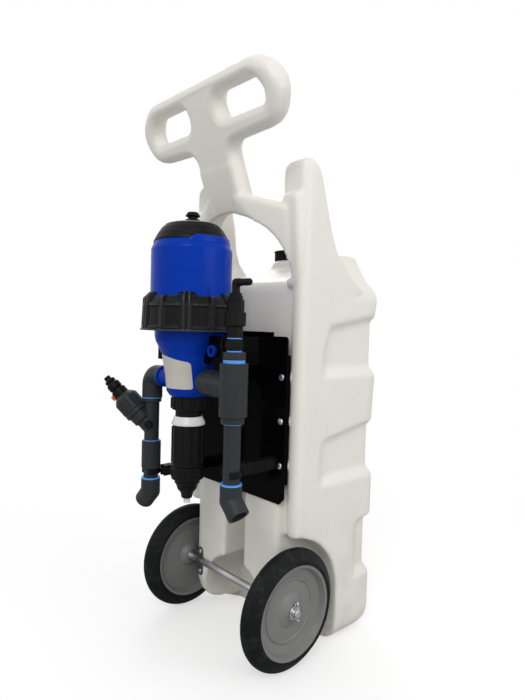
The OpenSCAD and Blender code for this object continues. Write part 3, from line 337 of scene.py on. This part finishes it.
def turned(name, line, base, material, steps=96, along=(0, 0, 1), swell=None, smooth=35):
    """A piece turned from a closed outline of (radius, height) about an axis through its base.

    A swell gives how much further out the skin stands at a turn, radius and height."""
    up = Vector(along).normalized()
    side = Vector((0, 0, -1)).cross(up) if abs(up.z) < 0.99 else Vector((1, 0, 0))
    side.normalize()
    other = up.cross(side)
    base = Vector(base)
    rows = []
    for i in range(steps):
        turn = 2 * math.pi * i / steps
        ray = side * math.cos(turn) + other * math.sin(turn)
        rows.append([base + ray * (r + (swell(turn, r, z) if swell else 0)) + up * z for r, z in line])
    return grown(name, rows, material, smooth=smooth)


def soft_step(value, low, high):
    """0 below the low value, 1 above the high one, and an S curve between them."""
    share = min(max((value - low) / (high - low), 0), 1)
    return share * share * (3 - 2 * share)


# Two low waves of the bell's blue edge stand up round the foot of the cap, one opposite the other.
# Each grows out of the bell's chamfer and leans in against the cap.
cap_foot = bell_high[2] + 0.3
wave_span, wave_steps, wave_flank = 100, 60, 12  # degrees, steps, degrees
wave_low, wave_climb, wave_lean = 0.6, 5.6, 0.2
for name, middle_turn in (("front_wave", 11), ("back_wave", 191)):
    rows = []
    for i in range(wave_steps + 1):
        turn = math.radians(middle_turn - wave_span / 2 + i * wave_span / wave_steps)
        from_end = min(i, wave_steps - i) * wave_span / wave_steps
        rise = wave_low + wave_climb * soft_step(from_end, 0, wave_flank)
        lean = rise * wave_lean
        rows.append([
            round_doser(r, turn, cap_foot + z)
            for r, z in ((60.5, -5.4), (63.45, -5.2), (63.2, -0.4), (63.1 - lean, rise - 0.7),
                         (62.3 - lean, rise), (58.5 - lean, rise - 0.3))])
    wave = grown(name, rows, royal_blue, closed=False)
    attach(wave, "cart")


# Each cheek of the bracket is a strip of the same coated sheet as the bracket itself.
# It runs in behind its knob to meet the doser's body.
bracket_low, bracket_high = box_mm("doser_bracket")
cheek_in, cheek_out, cheek_corner, sheet = 44, 72, 6, 3
cheek_low, cheek_high = bracket_low[2] + 8.3, bracket_high[2] - 8.3
cheek_back = doser_y - 0.6
cheek_line = eased([(cheek_in, cheek_low), (cheek_out, cheek_low), (cheek_out, cheek_high),
                    (cheek_in, cheek_high)], cheek_corner, 6)
for side, name in ((1, "right_cheek"), (-1, "left_cheek")):
    rows = [[(side * x, y, z) for x, z in cheek_line] for y in (cheek_back - sheet, cheek_back)]
    cheek = grown(name, rows, gloss_black, closed=False, smooth=25)
    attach(cheek, "cart")


# A knob on each cheek of the bracket is a moulded blue ring round a six-sided socket, whose black floor is
# painted shade in its recess. Its stud goes back through the cheek.
shade_and_stud_black, skin, place = new_finish("socket_shade_and_stud_black", IOR=1.15)
join(skin, place.noise(90.0).tint((0.002, 0.002, 0.003), (0.006, 0.006, 0.008)), "Base Color")
join(skin, 0.35 + place.noise(200.0) * 0.2, "Roughness")
knob_face, knob_out, knob_high, seat = 7, 9.6, 6.6, 0.1
socket_out, socket_high = 6.0, 3.0
stud_out, stud_deep, stud_high = 3, 14, 0.4
knob_line = eased([(5.2, seat), (knob_out, seat), (knob_out, knob_high), (5.4, knob_high)], 1.2)
socket_line = [(0, seat), (socket_out, seat), (socket_out, socket_high), (0, socket_high)]
stud_line = [(0, -stud_deep), (stud_out, -stud_deep), (stud_out, stud_high), (0, stud_high)]
forward = (0, -1, 0)
for side in ("right", "left"):
    low, high = box_mm(side + "_bracket_knob")
    hub = ((low[0] + high[0]) / 2, low[1] + knob_face, (low[2] + high[2]) / 2)
    ring = turned(side + "_knob_ring", knob_line, hub, royal_blue, 64, forward)
    # The black hex core at the foot of the socket is painted shade.
    core = turned(side + "_shade_and_stud_black", socket_line, hub, shade_and_stud_black, 6, forward)
    stud = turned(side + "_knob_stud", stud_line, hub, shade_and_stud_black, 32, forward)
    for piece in (ring, core, stud):
        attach(piece, side + "_knob")
        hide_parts(side + "_bracket_knob")


# A bare panel of pale film is stuck on the lower body. It follows the body's flare, and its lower
# edge is level while its upper edge slants.
panel_film, skin, place = new_finish("bare_panel_film", IOR=1.45)
join(skin, place.noise(40.0).tint((0.52, 0.50, 0.44), (0.60, 0.58, 0.52)), "Base Color")
join(skin, 0.3 + place.noise(90.0) * 0.12, "Roughness")

body_floor = box_mm("doser_body")[0][2]
body_line = [(0, 31), (2, 33), (8, 37.5), (18, 38.5), (36, 40), (55, 43.5), (70, 46), (82, 52.5),
             (91, 57), (101, 59)]


def body_radius(z):
    """Radius of the doser's lower body at a height."""
    up = z - body_floor
    for (z0, r0), (z1, r1) in zip(body_line, body_line[1:]):
        if up <= z1:
            return r0 + (r1 - r0) * (up - z0) / (z1 - z0)
    return body_line[-1][1]


panel_low, panel_corner, corner_span = body_floor + 14, 5.0, 48
panel_left, panel_right, left_lean, right_lean = -112, -25, 5, 8  # degrees
panel_tall, panel_slant = 56, 12
film_out, film_in = 0.7, -0.6
panel_rows, panel_columns = 24, 36
degrees_per_mm = 1.3
rows = []
for j in range(panel_rows + 1):
    share = j / panel_rows
    edge = min(share, 1 - share) * corner_span
    inset = 0
    if edge < panel_corner:
        inset = panel_corner - math.sqrt(panel_corner ** 2 - (panel_corner - edge) ** 2)
    left = panel_left - left_lean * share + inset * degrees_per_mm
    right = panel_right - right_lean * share - inset * degrees_per_mm
    front, back = [], []
    for i in range(panel_columns + 1):
        degrees = left + (right - left) * i / panel_columns
        height = panel_low + share * (panel_tall - panel_slant * soft_step(degrees, -125, panel_right))
        radius = body_radius(height)
        front.append(round_doser(radius + film_out, math.radians(degrees), height))
        back.append(round_doser(radius + film_in, math.radians(degrees), height))
    rows.append(front + back[::-1])
panel = grown("bare_panel", rows, panel_film, closed=False)
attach(panel, "cart")
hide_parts("label_panel")


# The doser's cap, nuts and adjuster are black glass-filled nylon with a satin grain, and so are the
# small fittings on the pipes, the comb rail and its clips.
satin_black, skin, place = new_finish("satin_black_nylon", IOR=1.2)
fibre = place.stretched(1, 1, 3).noise(260.0, 3.0, 0.6)
shade = place.noise(30.0, 4.0)
join(skin, shade.tint((0.004, 0.004, 0.0045), (0.011, 0.011, 0.012)), "Base Color")
join(skin, 0.3 + fibre * 0.18, "Roughness")
bump(skin, fibre, 0.0002, 0.5)
dress(satin_black, "doser_top_cap", "vent_button", "doser_nut", "doser_neck", "dose_adjuster",
      "lock_ring", "suction_cone", "drain_knob", "quick_connector", "valve_adapter",
      "check_valve", "hose_elbow", "comb_rail", "pipe_clips")


# The clamp ring is moulded in the same nylon, with a painted highlight that makes its edges paler, and holds
# bell and body together. It has twelve sunk panels, with twin ribs that rise as teeth and single ribs in
# turn.
ring_black_painted_highlight, skin, place = new_finish("ring_nylon_painted_highlight", IOR=1.24)
# Painted highlight: the edges that pointiness finds are made paler in the base colour.
edge = place.add("NewGeometry", out="Pointiness").between(0.505, 0.56)
edge = edge * (0.5 + place.noise(40.0, 4.0) * 0.9)
fibre = place.stretched(1, 1, 3).noise(260.0, 3.0, 0.6)
join(skin, edge.tint((0.004, 0.004, 0.0045), (0.055, 0.057, 0.06)), "Base Color")
join(skin, 0.3 + fibre * 0.18, "Roughness")
bump(skin, fibre, 0.0002, 0.5)

(ring_left, _, ring_low), (ring_right, _, ring_high) = box_mm("clamp_ring")
ring_out = (ring_right - ring_left) / 2
ring_bore, ring_hole, ring_floor = 67.3, 60.5, 12
foot_edge, foot_in, wall_in, wall_draft = 0.8, 1.4, 2.2, 2.6
shoulder = ring_high - 19
tooth_high, tooth_in, tooth_out = 6, 8.5, 14
facet_in, shoulder_in, rib_in = 1.4, 11, 9
panel_deep, panel_foot, rim_high = 2.2, 6, 2.6
rib_repeat, rib_offset = 60, 30  # degrees, as are the next two lines
twin_off, twin_half, single_half, rib_fade = 3.2, 2.1, 1.9, 0.7
panel_off_twin, panel_off_single, panel_fade = 6.4, 3.4, 1.3
ring_turn, ring_columns, ring_levels = -40, 360, 40


def ring_radius(off_twin, off_single, z):
    """Radius of the clamp ring's outer face, from the distances to the nearest ribs in degrees."""
    wall = ring_out - wall_in - wall_draft * (z - ring_low) / (ring_high - ring_low)
    facet = wall - facet_in - shoulder_in * soft_step(z, shoulder - 3, ring_high + 1)
    rib_line = wall - rib_in * soft_step(z, shoulder + 9, ring_high + 4)
    twin = soft_step(twin_half - abs(abs(off_twin) - twin_off), 0, rib_fade)
    single = soft_step(single_half - abs(off_single), 0, rib_fade)
    in_panel = min(abs(off_twin) - panel_off_twin, abs(off_single) - panel_off_single)
    sunk = soft_step(in_panel, 0, panel_fade) * soft_step(z, ring_low + panel_foot, ring_low + panel_foot + 3)
    sunk *= 1 - soft_step(z, shoulder - 4, shoulder - 2)
    face = facet - panel_deep * sunk + (rib_line - facet) * max(twin, single)
    foot = (ring_out - foot_in) * (1 - soft_step(z, ring_low + rim_high, ring_low + 5))
    return max(face, foot)


rows = []
for i in range(ring_columns):
    degrees = i * 360 / ring_columns
    off_twin = (degrees + rib_offset) % rib_repeat - rib_offset
    off_single = degrees % rib_repeat - rib_offset
    top = ring_high - tooth_high * soft_step(abs(off_twin), tooth_in, tooth_out)
    wall_foot = ring_low + foot_edge
    line = [(ring_hole, wall_foot), (ring_out - foot_in - 1, ring_low), (ring_out - foot_in, wall_foot)]
    for j in range(1, ring_levels + 1):
        z = wall_foot + (top - wall_foot) * j / ring_levels
        line.append((ring_radius(off_twin, off_single, z), z))
    line += [(line[-1][0] - 0.8, top + 0.5), (ring_bore + 0.3, top + 0.5), (ring_bore, top - 1),
             (ring_bore, ring_low + ring_floor), (ring_hole, ring_low + ring_floor)]
    turn = math.radians(degrees + ring_turn)
    rows.append([round_doser(r, turn, z) for r, z in line])
ribbed_ring = grown("ribbed_ring", rows, ring_black_painted_highlight, smooth=50)
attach(ribbed_ring, "cart")
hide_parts("clamp_ring")


# The collar under the doser, its piston and the tip for the suction hose are white acetal.
# They are moulded smooth, and have no grain.
clean_white, skin, place = new_finish("white_acetal", IOR=1.5)
join(skin, place.noise(50.0).tint((0.74, 0.74, 0.72), (0.80, 0.80, 0.785)), "Base Color")
join(skin, 0.28 + place.noise(160.0) * 0.12, "Roughness")
dress(clean_white, "scale_collar", "suction_tip", "doser_piston")


# The pipes and their fittings are dark grey rigid vinyl, pushed together with cement.
# The pipe shows faint drawing lines, and the moulded fittings a fine grain.
grey_vinyl, skin, place = new_finish("dark_grey_vinyl", IOR=1.28)
haze = place.noise(22.0, 5.0, 0.6)
lines = place.stretched(60, 60, 2).noise(14.0, 3.0)
join(skin, haze.tint((0.019, 0.023, 0.024), (0.034, 0.039, 0.040)), "Base Color")
join(skin, 0.34 + lines * 0.12 + haze * 0.08, "Roughness")
bump(skin, lines, 0.0001, 0.4)
dress(grey_vinyl, "inlet_nut", "inlet_wye", "left_coupling", "left_lower_pipe",
      "left_outlet_elbow", "outlet_tee", "tee_collars", "right_pipe", "right_outlet_elbow")


# The elbow on the inlet side is moulded in the same vinyl, and is cemented on the pipe under it.
# Its arm reaches almost to the doser's port, where a short blue collar shows.
elbow_low, elbow_high = box_mm("inlet_elbow")
elbow_radius, elbow_bend, arm_long = 18.35, 19, 43
lip_radius, lip_wide, ease = 19.2, 5, 0.6
leg_x, leg_y = elbow_low[0] + elbow_radius, (elbow_low[1] + elbow_high[1]) / 2
leg_foot, arm_height = elbow_low[2], elbow_high[2] - elbow_radius
arm_end = leg_x + arm_long
level, bend_steps, elbow_sides = math.pi / 2, 16, 48
path = [(leg_x, leg_foot, 0, 17.9)]
path += [(leg_x, leg_foot + up, 0, elbow_radius) for up in (ease, 15, 18, 21)]
for k in range(bend_steps + 1):
    bend = level * k / bend_steps
    path.append((leg_x + elbow_bend * (1 - math.cos(bend)), arm_height - elbow_bend * (1 - math.sin(bend)),
                 bend, elbow_radius))
path += [(x, arm_height, level, r) for x, r in (
    (leg_x + 24, elbow_radius), (arm_end - lip_wide, elbow_radius), (arm_end - lip_wide + ease, lip_radius),
    (arm_end - ease, lip_radius), (arm_end, lip_radius - ease))]
rows = []
for x, z, bend, r in path:
    row = []
    for k in range(elbow_sides):
        turn = 2 * math.pi * k / elbow_sides
        across = r * math.cos(turn)
        row.append((x + across * math.cos(bend), leg_y + r * math.sin(turn), z - across * math.sin(bend)))
    rows.append(row)
elbow = grown("long_elbow", rows, grey_vinyl, closed=False)
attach(elbow, "cart")
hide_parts("inlet_elbow")

collar_gap, collar_bore, collar_out, collar_deep = 0.3, 10.5, 19, 26
collar_long = box_mm("inlet_collar")[1][0] - arm_end - collar_gap
collar_line = eased([(collar_bore, -collar_deep), (collar_bore, 0), (collar_out, 0),
                     (collar_out, collar_long), (collar_bore, collar_long)], 0.8, 2)
collar_foot = (arm_end + collar_gap, leg_y, arm_height)
collar = turned("blue_collar", collar_line, collar_foot, royal_blue, 64, (1, 0, 0))
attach(collar, "cart")
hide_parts("inlet_collar")


# The branch on the inlet pipe ends in a long union nut with twelve broad ribs, over a plain socket.
# Both are grey vinyl, and the black sleeve of the quick connector sits further out on the same axis.
branch_foot = (leg_x, leg_y, 372)
branch_turn, branch_climb = math.radians(220), math.radians(45)
branch_way = (math.cos(branch_turn) * math.cos(branch_climb),
              math.sin(branch_turn) * math.cos(branch_climb), math.sin(branch_climb))
rib_pitch, rib_high, barrel_bore = 30, 1.5, 20


def broad_ribs(turn, radius, height):
    """How far the union nut's skin stands out between its grooves."""
    if radius <= barrel_bore:
        return 0
    off = abs((math.degrees(turn) + rib_pitch / 2) % rib_pitch - rib_pitch / 2)
    run = soft_step(height, 44.5, 46) * (1 - soft_step(height, 70, 73))
    return rib_high * (1 - soft_step(off, 9.5, 12)) * run


# From the branch's foot: the collar, the ribbed barrel, and the shoulder round the connector.
union_line = [(19.9, 36.5), (22.2, 36.5), (22.9, 37.2), (22.9, 43.4), (22.4, 44), (21.8, 44.4)]
union_line += [(21.8, z) for z in (45.2, 46, 50, 55, 60, 65, 70, 71, 72)]
union_line += [(21.6, 73), (20.6, 74.6), (15.8, 80), (15, 80.2), (10.6, 80.2), (10.6, 75), (19.9, 70)]
union = turned("ribbed_union", union_line, branch_foot, grey_vinyl, 180, branch_way, broad_ribs, 30)
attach(union, "cart")
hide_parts("union_nut")

socket_line = eased([(15.4, 18), (19, 21), (19.4, 36.2), (15.4, 36.2)], 1, 2)
socket = turned("branch_socket", socket_line, branch_foot, grey_vinyl, 72, branch_way)
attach(socket, "cart")

sleeve_line = eased([(9.3, 94.6), (10.6, 95.2), (12.4, 98.8), (12.5, 107.5), (9.6, 111.4), (8.0, 111.4),
                     (8.0, 106)], 0.8, 2)
sleeve = turned("connector_sleeve", sleeve_line, branch_foot, satin_black, 72, branch_way)
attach(sleeve, "cart")


# The comb rail is moulded in the same black nylon as the doser's nuts, and holds both pipe groups.
# Short teeth stand in a row on both faces of each of its arms.
rail_low, rail_high = box_mm("comb_rail")
arm_inner, arm_outer, arm_middle = 97, 111, 9.5
teeth_back, teeth_front, first_tooth = -130, -198, -197
tooth_count, tooth_pitch, tooth_wide, tooth_slant = 13, 5.2, 2.8, 0.3
tooth_half, tooth_proud, tooth_sunk, strip_back = 9.3, 0.9, 0.3, 0.6
for side, height in ((1, rail_high[2] - arm_middle), (-1, rail_low[2] + arm_middle)):
    for face, outward in ((arm_inner, -1), (arm_outer, 1)):
        deep, foot = face - strip_back * outward, face - tooth_sunk * outward
        tip = face + tooth_proud * outward
        line = [(deep, teeth_back), (deep, teeth_front), (foot, teeth_front)]
        for k in range(tooth_count):
            y = first_tooth + tooth_pitch * k
            line += [(foot, y), (tip, y + tooth_slant), (tip, y + tooth_wide - tooth_slant),
                     (foot, y + tooth_wide)]
        line.append((foot, teeth_back))
        name = ("right" if side > 0 else "left") + ("_inner_teeth" if outward < 0 else "_outer_teeth")
        rows = [[(side * x, y, height + z) for x, y in line] for z in (-tooth_half, tooth_half)]
        teeth = grown(name, rows, satin_black, closed=False, smooth=20)
        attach(teeth, "cart")


# Light blue rubber seals show as thin bright rings where pipes go into their fittings.
# Some are nodes of the frame, and four more stand at the mouths of other fittings.
sky_ring, skin, place = new_finish("light_blue_seal", IOR=1.5)
join(skin, place.noise(60.0).tint((0.07, 0.30, 0.80), (0.12, 0.40, 0.95)), "Base Color")
join(skin, 0.3 + place.noise(160.0) * 0.15, "Roughness")
dress(sky_ring, "right_rings", "left_ring")

seal_half, seal_sunk, seal_proud = 0.9, 1, 1.4


def seal(name, column, height):
    """The edge of a seal that stands round a column at a height."""
    low, high = box_mm(column)
    across = (high[0] - low[0]) / 2
    hidden, shown = across - seal_sunk, across + seal_proud
    foot, top = height - seal_half, height + seal_half
    line = eased([(hidden, foot), (shown, foot), (shown, top), (hidden, top)], 0.5, 2)
    ring = turned(name, line, ((low[0] + high[0]) / 2, (low[1] + high[1]) / 2, 0), sky_ring, 64)
    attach(ring, "cart")


tee_mouth = box_mm("outlet_tee")[0][2]
seal("seal_under_elbow", "inlet_nut", leg_foot)
seal("seal_over_coupling", "left_lower_pipe", box_mm("left_coupling")[1][2] + seal_half)
seal("seal_under_tee", "right_pipe", tee_mouth - 9)
seal("seal_under_collar", "right_pipe", tee_mouth - 11)


# The release tab of the quick connector is orange acetal, moulded smooth. It slides in when pressed,
# and a spring inside the connector pushes it out.
tab_orange, skin, place = new_finish("orange_acetal", IOR=1.5)
join(skin, place.noise(60.0).tint((0.72, 0.09, 0.012), (0.85, 0.14, 0.02)), "Base Color")
join(skin, 0.3 + place.noise(160.0) * 0.15, "Roughness")
dress(tab_orange, "release_tab")


# The stage is a white floor that keeps a soft shadow, a white surround, and three round soft lamps.
# Far from the cart the floor shows as plain white to the camera, so that it has no edge.
floor_mesh = bpy.data.meshes.new("floor")
reach = 8
floor_mesh.from_pydata([(-reach, -reach, 0), (reach, -reach, 0), (reach, reach, 0), (-reach, reach, 0)], [],
                       [(0, 1, 2, 3)])
floor = bpy.data.objects.new("floor", floor_mesh)
bpy.context.scene.collection.objects.link(floor)
paper = bpy.data.materials.new("white_floor")
paper.use_nodes = True
paper.node_tree.nodes.clear()
white, paper_grey = (1, 1, 1, 1), (0.55, 0.55, 0.55, 1)
shadow_near, shadow_far = 0.45, 1.3
start = Wire(paper.node_tree, None)
seen = start.add("LightPath", out="Is Camera Ray")
matt = start.add("BsdfDiffuse", None, {"Color": paper_grey})
glow = start.add("Emission", None, {"Color": white, "Strength": seen * 0.52})
near = start.add("AddShader", None, {0: matt, 1: glow})
plain = start.add("Emission", None, {"Color": white, "Strength": 1.0})
spot = start.add("TexCoord", out="Object")
away = start.add("VectorMath", {"operation": "LENGTH"}, {0: spot}, "Value").between(shadow_near, shadow_far)
sheet_of_paper = start.add("MixShader", None, {0: away * seen, 1: near, 2: plain})
start.add("OutputMaterial", None, {"Surface": sheet_of_paper})
floor_mesh.materials.append(paper)
floor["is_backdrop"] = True

world = bpy.data.worlds.new("surround")
bpy.context.scene.world = world
world.use_nodes = True
world.node_tree.nodes.clear()
start = Wire(world.node_tree, None)
seen = start.add("LightPath", out="Is Camera Ray")
mirrored = start.add("LightPath", out="Is Glossy Ray")
through = start.add("LightPath", out="Is Transmission Ray")
shown = seen.maths("MAXIMUM", seen, mirrored.maths("MAXIMUM", mirrored, through))
lit = 0.62
backdrop = start.add("Background", None, {"Color": white, "Strength": lit + shown * (1 - lit)})
start.add("OutputWorld", None, {"Surface": backdrop})


def lamp(name, place, aim, size, power):
    """A round lamp at a place, turned to its aim."""
    light = bpy.data.lights.new(name, "AREA")
    light.shape = "DISK"
    light.size = size
    light.energy = power
    holder = bpy.data.objects.new(name, light)
    holder.location = place
    holder.rotation_euler = (Vector(aim) - Vector(place)).to_track_quat("-Z", "Y").to_euler()
    bpy.context.scene.collection.objects.link(holder)


lamp("key", (1.6, -2.2, 2.4), (0, 0, 0.5), 1.4, 34)
lamp("fill", (2.6, 0.6, 1.4), (0, 0, 0.45), 1.8, 16)
lamp("rim", (-2.2, 1.2, 2.2), (0, 0, 0.6), 1.4, 14)

# The camera stands at the front right, level with the doser, and looks almost level at the cart.
# Its axes are three unit vectors.
right = Vector((0.672539, 0.739555, 0.027373))
down = Vector((0.050037, -0.008538, -0.998711))
ahead = Vector((-0.738368, 0.673042, -0.042748))
stand = Vector((0.7640, -0.7512, 0.5630))
lens = bpy.data.cameras.new("camera")
lens.sensor_fit = "VERTICAL"
lens.sensor_height = 36.0
lens.lens = 28.389
lens.clip_start = 0.01
lens.clip_end = 100
camera = bpy.data.objects.new("camera", lens)
turned_to = Matrix((right, -down, -ahead)).transposed()
camera.matrix_world = Matrix.Translation(stand) @ turned_to.to_4x4()
bpy.context.scene.collection.objects.link(camera)
bpy.context.scene.camera = camera
bpy.context.scene.view_settings.view_transform = "Standard"

low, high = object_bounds()
